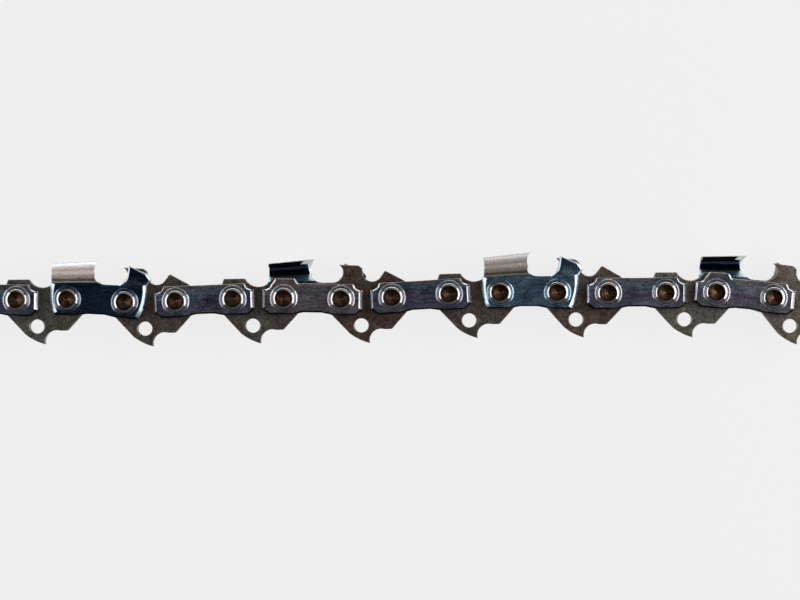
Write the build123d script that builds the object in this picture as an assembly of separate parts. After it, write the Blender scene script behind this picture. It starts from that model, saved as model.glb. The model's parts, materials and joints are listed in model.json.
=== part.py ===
from build123d import *
import math
import os

# A length of low-profile saw chain, lying on its side as it would on a bench.
# +X is the way the chain travels, +Y is the cutting side, and the rivets stand along Z, near side up.
# Every link is drawn with its rear rivet at the origin and its front rivet on +X.

os.makedirs("parts", exist_ok=True)

# Layers across the chain
GAUGE = 1.27                # thickness of a drive link, which runs in the bar's groove
SIDE_CLEARANCE = 0.06       # between a drive link and each side plate
PLATE = 1.15                # thickness of a strap and of a cutter's body
INNER = GAUGE / 2 + SIDE_CLEARANCE
OUTER = INNER + PLATE

# Rivets, drawn with flat sides because there are many of them and they are small
DRIVE_SPAN = 8.754          # rivet to rivet on a drive link
STRAP_SPAN = 9.887          # rivet to rivet on a strap or cutter
RIVET_SIDES = 12
HUB_RADIUS = 1.35
HUB_FIT = 0.01              # radial, between the rivet and a side plate
PIVOT_CLEARANCE = 0.05      # radial, between the rivet and a drive link
HEAD_RADIUS = 1.84
HEAD_HEIGHT = 0.55
HEAD_TAPER = 36             # degrees that the head's side leans in
PIVOT_HOLE_RADIUS = HUB_RADIUS + PIVOT_CLEARANCE
HUB_HOLE_RADIUS = HUB_RADIUS + HUB_FIT

# Drive link: the ends beside the rivets and the tang below them
REAR_REACH = 3.0            # past the rear rivet
FRONT_REACH = 3.45          # past the front rivet
END_HALF_FLAT = 1.2         # half the height of the flat at each end
REAR_SHOULDER = 2.0         # lower corner of the rear end, behind the rear rivet
FRONT_SHOULDER = 2.63       # lower corner of the front end, ahead of the front rivet
SHOULDER_DROP = 2.4         # of both corners below the rivet line
TANG_DEPTH = 7.75
TANG_TIP = 4.75             # ahead of the rear rivet
BACK_FOOT_X = 1.3           # where the tang's straight back ends
BACK_FOOT_DEPTH = 6.0
BELLY = 0.2                 # bulge of the curve from there to the tip
HOOK_REACH = 2.54           # of the hollow ahead of the tip
HOOK_HOLLOW = 1.02          # depth of the hollow behind its chord
FLAT_DEPTH = 5.42           # of the tang's front flat
FLAT_SETBACK = 0.17         # of the flat's front corner behind the front rivet
OIL_HOLE_RADIUS = 1.22
OIL_HOLE_X = 3.33
OIL_HOLE_DEPTH = 4.65

# Plain drive link: two humps and the saddle between them
HUMP_TOP = 3.5
HUMP_FLAT = 1.6             # of a hump's top past its rivet, towards the link's end
HUMP_FOOT_X = 1.95
HUMP_FOOT = 2.55
SADDLE_RADIUS = 2.64
SADDLE_BOTTOM = 2.06

# Guard drive link: fin, valley and ramp
FIN_TIP_X = -0.2
FIN_TIP = 5.94
FIN_HEEL_X = -1.1
FIN_HEEL = 2.95
FIN_THROAT = 1.08           # depth of the round throat behind the fin
FIN_TOP_X = 3.12
FIN_TOP_DROP = 0.22         # of the fin's top towards its front corner
FIN_CORNER = 0.54
FIN_FRONT_X = 3.82
VALLEY_RADIUS = 1.68
VALLEY_BOTTOM = 2.88
VALLEY_END_ANGLE = -43      # degrees, where the valley turns into the ramp's back
RAMP_PEAK_SETBACK = 1.06    # behind the front rivet
RAMP_PEAK = 4.69
RAMP_FOOT_X = 2.22          # ahead of the front rivet
RAMP_FOOT = 2.88

# Straps
STRAP_REACH = 3.75          # past each rivet
STRAP_TOP = 2.6
STRAP_BOTTOM = 2.75
ARCH_RISE = 0.38            # of the bottom edge between the rivets
ARCH_START = 1.5            # from a rivet to where its end of the arch starts
ARCH_SLOPE = 1.9            # length of the arch's slope
END_TOP = 1.46              # upper and lower ends of the upright end face, from the rivet line
END_BOTTOM = 1.75
CORNER_CUT = 1.2            # length of the lower corner's cut
SCALLOP = 1.2               # width of the hollow in each upper corner
SCALLOP_LIP = 0.45          # from the hollow to the end face
SCALLOP_DIP = 0.3           # of the hollow below its straight chord
REAR_BEVEL = 0.42           # on the outside of the rear end face
FRONT_BEVEL = 0.75          # on the outside of the front end face
STRAP_HUMP_TOP = 3.38
STRAP_HUMP_REAR = 2.0
STRAP_HUMP_FRONT = 2.4
STRAP_HUMP_SLOPE = 0.47     # width of the hump's sloped sides

# Cutter: flat body
BODY_REAR = 3.0             # behind the rear rivet
BODY_REAR_CUT = 0.8         # width of the rear lower corner's cut
BODY_CUT_TOP = 0.8          # depth of that cut's upper end below the rivet line
BODY_TOP = 2.85             # also the floor of the gullet
BODY_BOTTOM = 2.75
NOSE_FOOT_X = 2.3           # lower front corner, ahead of the front rivet
NOSE_FOOT = 2.9
NOSE_WAIST_X = 3.65         # narrowest place under the depth gauge's nose

# Cutter: top plate, a strip that bends out of the body, rounds the shoulder and runs in over the chain
TOP_REAR = 2.78             # behind the rear rivet
TOP_FRONT = 5.95            # ahead of the rear rivet
BEND_REAR = 2.72            # where the strip leaves the body, above the rivet line
BEND_FRONT = 3.2
TOP_RISE = 3.75             # of the top plate above the bend, at the front
TOP_TAPER = 0.875           # size of the strip at the rear against the front, so that it clears its cut
SHOULDER_OUT = 1.5          # of the outermost line, outside the body
SHOULDER_HEIGHT = 1.35      # of that line above the bend
SHOULDER_RUN = 1.6          # of the rounding, inwards
SHOULDER_CROWN = 0.6        # of the rounding outside its chord
SHOULDER_FLATS = 4          # that the rounding is drawn with
TOP_SHEET = 0.72            # thickness of the strip
TOP_ROOT = 0.3              # of the strip below its bend, inside the body
TOP_INNER_EDGE = 0.6        # past the middle of the chain
FILE_RADIUS = 2.0           # of the round file that cuts the edge
FILE_X = 6.09
FILE_Y = 5.0
FILE_SWEEP = 30             # degrees that the edge is swept back across the chain

# Cutter: depth gauge, a strip that leans outwards above its bend
DEPTH_ROOT = 1.0            # lowest line of the strip, inside the body
DEPTH_ROOT_X = 1.5          # rear end of the strip's foot, behind the front rivet
DEPTH_BEND = 3.8
DEPTH_LEAN = 0.45           # outwards, at the tip
DEPTH_TIP_X = 0.42          # ahead of the front rivet
DEPTH_TIP = 6.22
DEPTH_BACK_X = 0.16
DEPTH_BACK = 4.3
DEPTH_HEEL_X = -0.6
DEPTH_HEEL = 3.26
DEPTH_BROW_X = 3.5
DEPTH_BROW = 5.06
DEPTH_NOSE_X = 4.35
DEPTH_NOSE = 3.95

# The pose on the bench: heading of every link in degrees, from the rear of the chain to its front
PAIR_HEADINGS = (-1.0, -2.8, 2.3, -0.7, 3.5, 0.2, 0.4, -5.4)
DRIVE_HEADINGS = (0.7, 0.8, 0.7, 1.8, 1.6, -0.7, 0.3, -4.0)
# The side plates of each pair, near then far
PLAIN_PAIR = ("tie_strap", "tie_strap")
RIGHT_PAIR = ("right_cutter", "humped_strap")
LEFT_PAIR = ("humped_strap", "left_cutter")
PAIR_PLATES = (PLAIN_PAIR, RIGHT_PAIR, PLAIN_PAIR, LEFT_PAIR) * 2
# The drive link ahead of each pair
DRIVE_KINDS = ("drive_link", "guard_link") * 4


def closed_face(*runs):
    """One face from lines and arcs that follow each other round an outline."""
    return make_face([edge for run in runs for edge in run.edges()])


def drill(plate, x, y, radius):
    """The plate with a round hole right through it."""
    return plate - Pos(x, y, 0) * Cylinder(radius, 4 * OUTER)


def tang_runs():
    """Lower edge of a drive link, from its front end to its rear end."""
    front_corner = (DRIVE_SPAN + FRONT_SHOULDER, -SHOULDER_DROP)
    flat_front = (DRIVE_SPAN - FLAT_SETBACK, -FLAT_DEPTH)
    tip = Vector(TANG_TIP, -TANG_DEPTH)
    hook_top = Vector(TANG_TIP + HOOK_REACH, -FLAT_DEPTH)
    back_foot = Vector(BACK_FOOT_X, -BACK_FOOT_DEPTH)
    rear_corner = (-REAR_SHOULDER, -SHOULDER_DROP)
    return (
        Polyline((DRIVE_SPAN + FRONT_REACH, -END_HALF_FLAT), front_corner, flat_front, hook_top),
        SagittaArc(hook_top, tip, -HOOK_HOLLOW),
        SagittaArc(tip, back_foot, BELLY),
        Polyline(back_foot, rear_corner, (-REAR_REACH, -END_HALF_FLAT)),
    )


def plain_top_runs():
    """Upper edge of a plain drive link, from its rear end to its front end."""
    middle = DRIVE_SPAN / 2
    half = math.sqrt(SADDLE_RADIUS**2 - (HUMP_TOP - SADDLE_BOTTOM - SADDLE_RADIUS) ** 2)
    saddle_rear = (middle - half, HUMP_TOP)
    saddle_front = (middle + half, HUMP_TOP)
    return (
        Polyline(
            (-REAR_REACH, -END_HALF_FLAT),
            (-REAR_REACH, END_HALF_FLAT),
            (-HUMP_FOOT_X, HUMP_FOOT),
            (-HUMP_FLAT, HUMP_TOP),
            saddle_rear,
        ),
        ThreePointArc(saddle_rear, (middle, SADDLE_BOTTOM), saddle_front),
        Polyline(
            saddle_front,
            (DRIVE_SPAN + HUMP_FLAT, HUMP_TOP),
            (DRIVE_SPAN + HUMP_FOOT_X, HUMP_FOOT),
            (DRIVE_SPAN + FRONT_REACH, END_HALF_FLAT),
            (DRIVE_SPAN + FRONT_REACH, -END_HALF_FLAT),
        ),
    )


def guard_top_runs():
    """Upper edge of a guard drive link, from its rear end to its front end."""
    fin_top = FIN_TIP - FIN_TOP_DROP
    valley = Vector(FIN_FRONT_X + VALLEY_RADIUS, VALLEY_BOTTOM + VALLEY_RADIUS)
    valley_rear = valley - Vector(VALLEY_RADIUS, 0)
    angle = math.radians(VALLEY_END_ANGLE)
    valley_front = valley + Vector(math.cos(angle), math.sin(angle)) * VALLEY_RADIUS
    return (
        Polyline(
            (-REAR_REACH, -END_HALF_FLAT),
            (-REAR_REACH, END_HALF_FLAT),
            (-HUMP_FOOT_X, HUMP_FOOT),
            (FIN_HEEL_X, FIN_HEEL),
        ),
        SagittaArc((FIN_HEEL_X, FIN_HEEL), (FIN_TIP_X, FIN_TIP), -FIN_THROAT),
        Polyline(
            (FIN_TIP_X, FIN_TIP),
            (FIN_TOP_X, fin_top),
            (FIN_FRONT_X, fin_top - FIN_CORNER),
            valley_rear,
        ),
        ThreePointArc(valley_rear, valley - Vector(0, VALLEY_RADIUS), valley_front),
        Polyline(
            valley_front,
            (DRIVE_SPAN - RAMP_PEAK_SETBACK, RAMP_PEAK),
            (DRIVE_SPAN + RAMP_FOOT_X, RAMP_FOOT),
            (DRIVE_SPAN + FRONT_REACH, END_HALF_FLAT),
            (DRIVE_SPAN + FRONT_REACH, -END_HALF_FLAT),
        ),
    )


def drive_link(top_runs):
    """A drive link with the given upper edge, two rivet holes and the oil hole."""
    plate = extrude(closed_face(*top_runs, *tang_runs()), GAUGE / 2, both=True)
    plate = drill(plate, 0, 0, PIVOT_HOLE_RADIUS)
    plate = drill(plate, DRIVE_SPAN, 0, PIVOT_HOLE_RADIUS)
    return drill(plate, OIL_HOLE_X, -OIL_HOLE_DEPTH, OIL_HOLE_RADIUS)


def rivet_prism(radius, height):
    """A standing prism with the rivets' number of sides, centred on the origin."""
    return extrude(RegularPolygon(radius, RIVET_SIDES), height / 2, both=True)


def punch(plate, open_rear=False):
    """The side plate with its two rivet holes; a rear hole with no rivet in it is round."""
    hole = rivet_prism(HUB_HOLE_RADIUS, 4 * OUTER)
    rear = Cylinder(HUB_HOLE_RADIUS, 4 * OUTER) if open_rear else hole
    return plate - rear - Pos(STRAP_SPAN, 0, 0) * hole


def strap_end(side):
    """Outline of one strap end from the lower edge to the top, for side -1 (rear) or +1 (front)."""
    rivet = 0 if side < 0 else STRAP_SPAN
    face = rivet + side * STRAP_REACH
    lip = face - side * SCALLOP_LIP
    top = lip - side * SCALLOP
    dip = SCALLOP_DIP * math.sqrt(0.5)
    hollow = ((lip + top) / 2 - side * dip, (END_TOP + STRAP_TOP) / 2 - dip)
    return (
        (face - side * CORNER_CUT, -STRAP_BOTTOM),
        (face, -END_BOTTOM),
        (face, END_TOP),
        (lip, END_TOP),
        hollow,
        (top, STRAP_TOP),
    )


def arch():
    """The four corners of a side plate's arched lower edge, from the rear to the front."""
    return (
        (ARCH_START, -STRAP_BOTTOM),
        (ARCH_START + ARCH_SLOPE, ARCH_RISE - STRAP_BOTTOM),
        (STRAP_SPAN - ARCH_START - ARCH_SLOPE, ARCH_RISE - STRAP_BOTTOM),
        (STRAP_SPAN - ARCH_START, -STRAP_BOTTOM),
    )


def strap(humped=False, open_rear=False):
    """A near-side tie strap, with a flat-topped hump over its rear rivet if asked for."""
    hump = (
        (-STRAP_HUMP_REAR, STRAP_TOP),
        (STRAP_HUMP_SLOPE - STRAP_HUMP_REAR, STRAP_HUMP_TOP),
        (STRAP_HUMP_FRONT - STRAP_HUMP_SLOPE, STRAP_HUMP_TOP),
        (STRAP_HUMP_FRONT, STRAP_TOP),
    )
    top = hump if humped else ()
    outline = (*strap_end(-1), *top, *reversed(strap_end(1)), *reversed(arch()))
    plate = Pos(0, 0, INNER) * extrude(make_face(Polyline(*outline, close=True)), PLATE)
    ends = plate.faces().filter_by(Axis.X).sort_by(Axis.X)
    plate = chamfer(ends[0].edges().sort_by(Axis.Z)[-1], REAR_BEVEL)
    front = plate.faces().filter_by(Axis.X).sort_by(Axis.X)[-1]
    return punch(chamfer(front.edges().sort_by(Axis.Z)[-1], FRONT_BEVEL), open_rear)


def cutter_body():
    """The flat lower part of a near-side cutter, up to the foot of its top plate and depth gauge."""
    outline = (
        (-BODY_REAR, BODY_TOP),
        (-BODY_REAR, -BODY_CUT_TOP),
        (BODY_REAR_CUT - BODY_REAR, -BODY_BOTTOM),
        *arch(),
        (STRAP_SPAN + NOSE_FOOT_X, -NOSE_FOOT),
        (STRAP_SPAN + NOSE_WAIST_X, BODY_TOP),
    )
    return Pos(0, 0, INNER) * extrude(make_face(Polyline(*outline, close=True)), PLATE)


def top_section(x, bend, size):
    """Corners of the top plate's bent strip where it is cut across at x, at a given size above the bend."""
    turn = SHOULDER_OUT - SHOULDER_RUN
    push = SHOULDER_CROWN * math.sqrt(0.5)
    crown = ((SHOULDER_OUT + turn) / 2 + push, (SHOULDER_HEIGHT + TOP_RISE) / 2 + push)
    rounding = ThreePointArc((SHOULDER_OUT, SHOULDER_HEIGHT), crown, (turn, TOP_RISE))
    flats = [rounding @ (i / SHOULDER_FLATS) for i in range(SHOULDER_FLATS + 1)]
    inner_edge = -OUTER - TOP_INNER_EDGE
    inner_top = TOP_RISE - TOP_SHEET
    outline = (
        (0, -TOP_ROOT),
        (0, 0),
        *((point.X, point.Y) for point in flats),
        (inner_edge, TOP_RISE),
        (inner_edge, inner_top),
        (turn - TOP_SHEET / 2, inner_top),
        (SHOULDER_OUT - TOP_SHEET, SHOULDER_HEIGHT),
        (-PLATE, 0),
        (-PLATE, -TOP_ROOT),
    )
    return [(x, bend + size * y, OUTER + size * z) for z, y in outline]


def top_plate():
    """The sloping top plate, longer than it ends up once the file has cut its front."""
    rear = top_section(-TOP_REAR, BEND_REAR, TOP_TAPER)
    front = top_section(TOP_FRONT, BEND_FRONT, 1)
    corners = list(zip(rear, front))
    sides = [(a, b, d, c) for (a, b), (c, d) in zip(corners, corners[1:] + corners[:1])]
    return Solid(Shell([make_face(Polyline(*side, close=True)) for side in (rear, front, *sides)]))


def depth_gauge():
    """The depth gauge: a strip that leans outwards, trimmed to its shark-nosed outline."""
    section = Polyline(
        (0, DEPTH_ROOT, INNER),
        (0, DEPTH_BEND, INNER),
        (0, DEPTH_TIP, INNER + DEPTH_LEAN),
        (0, DEPTH_TIP, OUTER + DEPTH_LEAN),
        (0, DEPTH_BEND, OUTER),
        (0, DEPTH_ROOT, OUTER),
        close=True,
    )
    strip = extrude(make_face(section), STRAP_SPAN + DEPTH_NOSE_X, dir=(1, 0, 0))
    outline = (
        (STRAP_SPAN - DEPTH_ROOT_X, BODY_TOP),
        (STRAP_SPAN + DEPTH_HEEL_X, DEPTH_HEEL),
        (STRAP_SPAN + DEPTH_BACK_X, DEPTH_BACK),
        (STRAP_SPAN + DEPTH_TIP_X, DEPTH_TIP),
        (STRAP_SPAN + DEPTH_BROW_X, DEPTH_BROW),
        (STRAP_SPAN + DEPTH_NOSE_X, DEPTH_NOSE),
        (STRAP_SPAN + NOSE_WAIST_X, BODY_TOP),
        (STRAP_SPAN + NOSE_FOOT_X, DEPTH_ROOT),
        (STRAP_SPAN - DEPTH_ROOT_X, DEPTH_ROOT),
    )
    return strip & extrude(make_face(Polyline(*outline, close=True)), 3 * OUTER)


def cutter():
    """A right-hand cutter, which sits on the near side."""
    file = Cylinder(FILE_RADIUS, 8 * OUTER)
    ahead = Pos(FILE_RADIUS / 2, FILE_RADIUS, 0) * Box(FILE_RADIUS, 2 * FILE_RADIUS, 8 * OUTER)
    filed = Pos(FILE_X, FILE_Y, OUTER) * Rot(0, FILE_SWEEP, 0) * (file + ahead)
    blank = cutter_body() + top_plate() + depth_gauge()
    return punch(blank - filed)


def rivet():
    """A rivet with a head spun over on both sides."""
    head = Pos(0, 0, OUTER) * extrude(RegularPolygon(HEAD_RADIUS, RIVET_SIDES), HEAD_HEIGHT, taper=HEAD_TAPER)
    return rivet_prism(HUB_RADIUS, 2 * OUTER) + head + mirror(head, Plane.XY)


def place(point, heading):
    """Where a link lies whose rear rivet is at the point, in degrees up from +X."""
    return Pos(point.X, point.Y, 0) * Rot(0, 0, heading)


def lay_out():
    """The place of every pair of side plates and of every drive link, from the rear of the chain to its front."""
    point = Vector(0, 0)
    pairs = []
    drives = []
    for pair_heading, drive_heading in zip(PAIR_HEADINGS, DRIVE_HEADINGS):
        pairs.append(place(point, pair_heading))
        point = (pairs[-1] * Pos(STRAP_SPAN, 0, 0)).position
        drives.append(place(point, drive_heading))
        point = (drives[-1] * Pos(DRIVE_SPAN, 0, 0)).position
    return pairs, drives


def build():
    """Every piece of the chain in its place, by name."""
    near = {"tie_strap": strap(), "humped_strap": strap(humped=True), "right_cutter": cutter()}
    far = {
        "tie_strap": mirror(near["tie_strap"], Plane.XY),
        "humped_strap": mirror(near["humped_strap"], Plane.XY),
        "left_cutter": mirror(near["right_cutter"], Plane.XY),
    }
    links = {"drive_link": drive_link(plain_top_runs()), "guard_link": drive_link(guard_top_runs())}
    pin = rivet()
    end_strap = strap(open_rear=True)
    pieces = {}
    pairs, drives = lay_out()
    for number, (place_of_pair, plates) in enumerate(zip(pairs, PAIR_PLATES), start=1):
        near_kind, far_kind = plates
        first = number == 1
        near_plate = end_strap if first else near[near_kind]
        far_plate = mirror(end_strap, Plane.XY) if first else far[far_kind]
        pieces[f"{near_kind}_near_{number}"] = place_of_pair * near_plate
        pieces[f"{far_kind}_far_{number}"] = place_of_pair * far_plate
        if not first:
            pieces[f"rivet_rear_{number}"] = place_of_pair * pin
        pieces[f"rivet_front_{number}"] = place_of_pair * Pos(STRAP_SPAN, 0, 0) * pin
    for number, (place_of_drive, kind) in enumerate(zip(drives, DRIVE_KINDS), start=1):
        pieces[f"{kind}_{number}"] = place_of_drive * links[kind]
    return pieces


def bench_shift(pieces):
    """The move that puts the middle of the chain's underside on the origin."""
    boxes = [piece.bounding_box() for piece in pieces.values()]
    middle_x = (min(box.min.X for box in boxes) + max(box.max.X for box in boxes)) / 2
    middle_y = (min(box.min.Y for box in boxes) + max(box.max.Y for box in boxes)) / 2
    return Pos(-middle_x, -middle_y, -min(box.min.Z for box in boxes))


if __name__ == "__main__":
    pieces = build()
    shift = bench_shift(pieces)
    for name, piece in pieces.items():
        moved = shift * piece
        export_step(moved, f"parts/{name}.step")
    print(len(pieces), "pieces, moved by", shift.position)
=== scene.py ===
# %% [markdown]
# # A length of saw chain
#
# A saw chain is a row of flat steel links. Drive links run in the middle layer and reach down
# into the guide bar. Pairs of side plates join them: plain straps, and every fourth place a
# cutter on one side. A rivet goes through each joint. The CAD model already holds the sizes, the
# places and the hinges, so this lesson only dresses it: each dull solid is replaced by a piece
# with the same outline, softly worn edges and a finish of its own.

import json
import math

import bmesh
import bpy
import numpy as np
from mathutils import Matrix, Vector
from mathutils.geometry import tessellate_polygon

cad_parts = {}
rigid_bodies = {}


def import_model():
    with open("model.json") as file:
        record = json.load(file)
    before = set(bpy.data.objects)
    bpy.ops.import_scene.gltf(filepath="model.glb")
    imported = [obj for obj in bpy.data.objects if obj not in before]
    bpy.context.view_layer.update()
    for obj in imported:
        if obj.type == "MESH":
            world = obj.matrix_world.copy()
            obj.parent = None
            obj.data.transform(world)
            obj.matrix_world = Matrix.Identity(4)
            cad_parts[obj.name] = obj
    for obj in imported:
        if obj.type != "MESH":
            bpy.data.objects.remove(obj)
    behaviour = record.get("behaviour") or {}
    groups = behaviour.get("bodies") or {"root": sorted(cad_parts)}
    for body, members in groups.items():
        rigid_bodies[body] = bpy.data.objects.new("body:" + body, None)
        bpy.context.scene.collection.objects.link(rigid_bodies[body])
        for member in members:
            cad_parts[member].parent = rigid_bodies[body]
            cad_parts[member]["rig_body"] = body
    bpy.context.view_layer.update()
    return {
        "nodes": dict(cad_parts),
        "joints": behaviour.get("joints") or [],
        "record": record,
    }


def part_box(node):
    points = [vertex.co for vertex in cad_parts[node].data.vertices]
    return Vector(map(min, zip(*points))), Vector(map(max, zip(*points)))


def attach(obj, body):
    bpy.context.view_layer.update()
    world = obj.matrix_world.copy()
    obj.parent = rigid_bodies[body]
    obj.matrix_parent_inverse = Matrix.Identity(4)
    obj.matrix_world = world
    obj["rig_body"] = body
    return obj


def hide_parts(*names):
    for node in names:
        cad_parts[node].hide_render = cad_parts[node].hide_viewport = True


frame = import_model()
nodes = frame["nodes"]
MM = 0.001

# %% [markdown]
# ## The rivet line
#
# Every link lies between two rivets. The frame tells where each rivet stands, because a rivet is
# a hinge, and where the two open holes at the ends are. Read from the rear to the front, these
# points are the chain's backbone: a pair of side plates, a drive link, a pair, and so on.

# %% Rivet line
mounts = {mount["name"]: mount["pos_m"] for mount in frame["record"]["mounts"]}
hinges = sorted(frame["joints"], key=lambda joint: joint["name"])
rivet_places = [hinge["pos_m"] for hinge in hinges]
rivet_line = np.array([mounts["rear_hole"], *rivet_places, mounts["front_hole"]])
MIDDLE = rivet_line[0, 2]
STRAP_SPAN = float(np.linalg.norm(rivet_line[1] - rivet_line[0]))


def link_axes(rear):
    """The rear rivet's place, the unit vector to the next rivet, and that vector turned left."""
    along = rivet_line[rear + 1, :2] - rivet_line[rear, :2]
    along = along / np.linalg.norm(along)
    return rivet_line[rear, :2], along, np.array([-along[1], along[0]])


def from_link(points, rear):
    """From a link's own measure to the frame: rear rivet + x times along + y times across."""
    origin, along, across = link_axes(rear)
    flat = origin + points[..., :1] * along + points[..., 1:2] * across
    return np.concatenate([flat, MIDDLE + points[..., 2:3]], axis=-1)


def in_link(flat, rear):
    """The way back for flat points: how far along and across the link each of them lies."""
    origin, along, across = link_axes(rear)
    return np.stack([(flat - origin) @ along, (flat - origin) @ across], axis=-1)


def swing(vectors, rear):
    """Directions turned from the link's own axes to the frame's."""
    _, along, across = link_axes(rear)
    return np.hstack([vectors[:, :1] * along + vectors[:, 1:2] * across, vectors[:, 2:]])


print("rivets:", len(hinges), "chain length in mm:", round(np.ptp(rivet_line[:, 0]) / MM, 1))

# %% [markdown]
# ## From arrays to a mesh
#
# All pieces below are worked out as whole numpy arrays, and a few helpers turn them into Blender
# meshes. The first makes the quads of a grid whose columns close into a ring. Another turns all
# faces outwards, because mirroring and sharp tips can leave some the wrong way round. The last
# puts the arrays into a mesh, gives every corner the normal that the surface really has, and
# stores where each point lies on its own link. The finishes read that place, so rolling streaks
# and tints run along the link whichever way it points, and no two links look alike.

# %% Mesh helpers
LINK_STEP = 40.0


def ring_quads(rows, columns, first=0):
    """Quads between neighbouring rows of a grid whose last column joins its first one."""
    row, column = np.meshgrid(np.arange(rows - 1), np.arange(columns), indexing="ij")
    after = (column + 1) % columns
    a = first + row * columns + column
    b = first + row * columns + after
    return np.stack([a, b, b + columns, a + columns], axis=-1).reshape(-1, 4)


def store(mesh, name, values):
    """One number for each point, or one for all, kept under a name that a finish can read."""
    values = np.array(np.broadcast_to(values, len(mesh.vertices)), np.float32)
    mesh.attributes.new(name, "FLOAT", "POINT").data.foreach_set("value", values)


def face_outwards(mesh):
    """Turns the faces of each closed shell so that all of them look outwards."""
    shells = bmesh.new()
    shells.from_mesh(mesh)
    bmesh.ops.recalc_face_normals(shells, faces=shells.faces)
    shells.to_mesh(mesh)
    shells.free()


def make_piece(name, points, faces, rear, body, materials, slot, normals=None, face_finish=None,
               **values):
    """A mesh object from points and faces that rides a body and takes its finishes from the
    materials; the slot is not used.
    """
    mesh = bpy.data.meshes.new(name)
    mesh.from_pydata(points.tolist(), [], [list(map(int, face)) for face in faces])
    face_outwards(mesh)
    for material in materials:
        mesh.materials.append(material)
    if face_finish is not None:
        mesh.polygons.foreach_set("material_index", np.asarray(face_finish, np.int32))
    mesh.polygons.foreach_set("use_smooth", np.ones(len(mesh.polygons), bool))
    place = np.hstack([in_link(points[:, :2], rear), points[:, 2:] - MIDDLE]) / MM
    place[:, 0] += LINK_STEP * rear
    mesh.attributes.new("place", "FLOAT_VECTOR", "POINT").data.foreach_set("vector", place.ravel())
    for key, value in values.items():
        store(mesh, key, value)
    if normals is not None:
        mesh.normals_split_custom_set_from_vertices(normals.tolist())
    mesh.update()
    piece = bpy.data.objects.new(name, mesh)
    bpy.context.scene.collection.objects.link(piece)
    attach(piece, body)
    return piece


print("a ring of 3 rows and 4 columns has", len(ring_quads(3, 4)), "quads")

# %% [markdown]
# ## Loops
#
# The outline of a plate, and of each hole in it, is a closed loop of points. Going round the
# outline counter-clockwise and round a hole the other way keeps the steel on the left all the
# time, so the same sums serve for both. The sign of the enclosed area tells which way a loop runs.

# %% Loops
CIRCLE_STEPS = 48


def area(loop):
    """Half the sum of x times next y minus next x times y: positive if counter-clockwise."""
    ahead = np.roll(loop, -1, axis=0)
    return 0.5 * np.sum(loop[:, 0] * ahead[:, 1] - ahead[:, 0] * loop[:, 1])


def turned(loop, counter_clockwise):
    """The outline in the asked direction."""
    return loop if (area(loop) > 0) == counter_clockwise else loop[::-1]


def circle(x, y, radius):
    """Points at equal angles on a circle."""
    angle = np.linspace(0, 2 * np.pi, CIRCLE_STEPS, endpoint=False)
    return np.stack([x + radius * np.cos(angle), y + radius * np.sin(angle)], axis=-1)


print("area of a disc of radius 1, roughly pi:", round(area(circle(0, 0, 1)), 3))

# %% [markdown]
# ## Reading an outline from the frame
#
# Straps and drive links are stamped from sheet, so one outline says all. Instead of writing it
# down a second time, the outline is read from the CAD node: the triangles of one flat face are
# taken, and an edge that only one of them has is on the outline.

# %% Outlines
SAME_POINT = 1e-7
FLAT_WITHIN = 2e-6


def read_outline(node, height):
    """The closed outlines of a node's flat face at one height: the outer one, then its holes."""
    mesh = nodes[node].data
    mesh.calc_loop_triangles()
    points = np.empty(len(mesh.vertices) * 3)
    mesh.vertices.foreach_get("co", points)
    points = points.reshape(-1, 3)
    corners = np.empty(len(mesh.loop_triangles) * 3, int)
    mesh.loop_triangles.foreach_get("vertices", corners)
    corners = corners.reshape(-1, 3)
    spots = np.round(points / SAME_POINT)
    _, first, same = np.unique(spots, axis=0, return_index=True, return_inverse=True)
    corners = same.reshape(-1)[corners]
    points = points[first]
    flat = np.all(np.abs(points[corners][..., 2] - height) < FLAT_WITHIN, axis=1)
    edges = np.concatenate([corners[flat][:, ends] for ends in ([0, 1], [1, 2], [2, 0])])
    key = edges @ [len(points), 1]
    mirrored_key = edges @ [1, len(points)]
    following = dict(edges[~np.isin(key, mirrored_key)].tolist())
    loops = []
    while following:
        start, step = following.popitem()
        loop = [start]
        while step != start:
            loop.append(step)
            step = following.pop(step)
        loops.append(points[loop, :2])
    loops.sort(key=lambda loop: -abs(area(loop)))
    return [turned(loop, counter_clockwise=(i == 0)) for i, loop in enumerate(loops)]


for kind in ("drive_link_1", "guard_link_2"):
    print(kind, [len(loop) for loop in read_outline(kind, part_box(kind)[1].z)])

# %% [markdown]
# ## Softened corners
#
# A stamped and tumbled plate has no needle-sharp corners. A Bevel modifier could round them, but
# it would round every corner alike. Here each sharp corner of the outline becomes a short curve,
# no longer than the lines beside it allow, and gentle bends stay as they are.

# %% Corners
CORNER_STEPS = 5
CORNER_TURN = math.radians(14)
CORNER_SHARE = 0.4
LEAST_COSINE = 0.5


def soften(loop, reach):
    """A sharp corner c becomes the curve a(1-t)(1-t) + 2c t(1-t) + b t t, with a and b beside it."""
    back = loop - np.roll(loop, 1, axis=0)
    ahead = np.roll(loop, -1, axis=0) - loop
    back_length = np.linalg.norm(back, axis=1, keepdims=True)
    ahead_length = np.linalg.norm(ahead, axis=1, keepdims=True)
    back, ahead = back / back_length, ahead / ahead_length
    sharp = np.sum(back * ahead, axis=1) < math.cos(CORNER_TURN)
    room = np.minimum(reach, CORNER_SHARE * np.minimum(back_length, ahead_length))
    t = np.linspace(0, 1, CORNER_STEPS)[None, :, None]
    curve = ((loop - back * room)[:, None] * (1 - t) ** 2 + 2 * loop[:, None] * t * (1 - t)
             + (loop + ahead * room)[:, None] * t**2)
    curve[~sharp] = loop[~sharp][:, None]
    keep = sharp[:, None] | (np.arange(CORNER_STEPS) == 0)
    return curve[keep]


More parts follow.
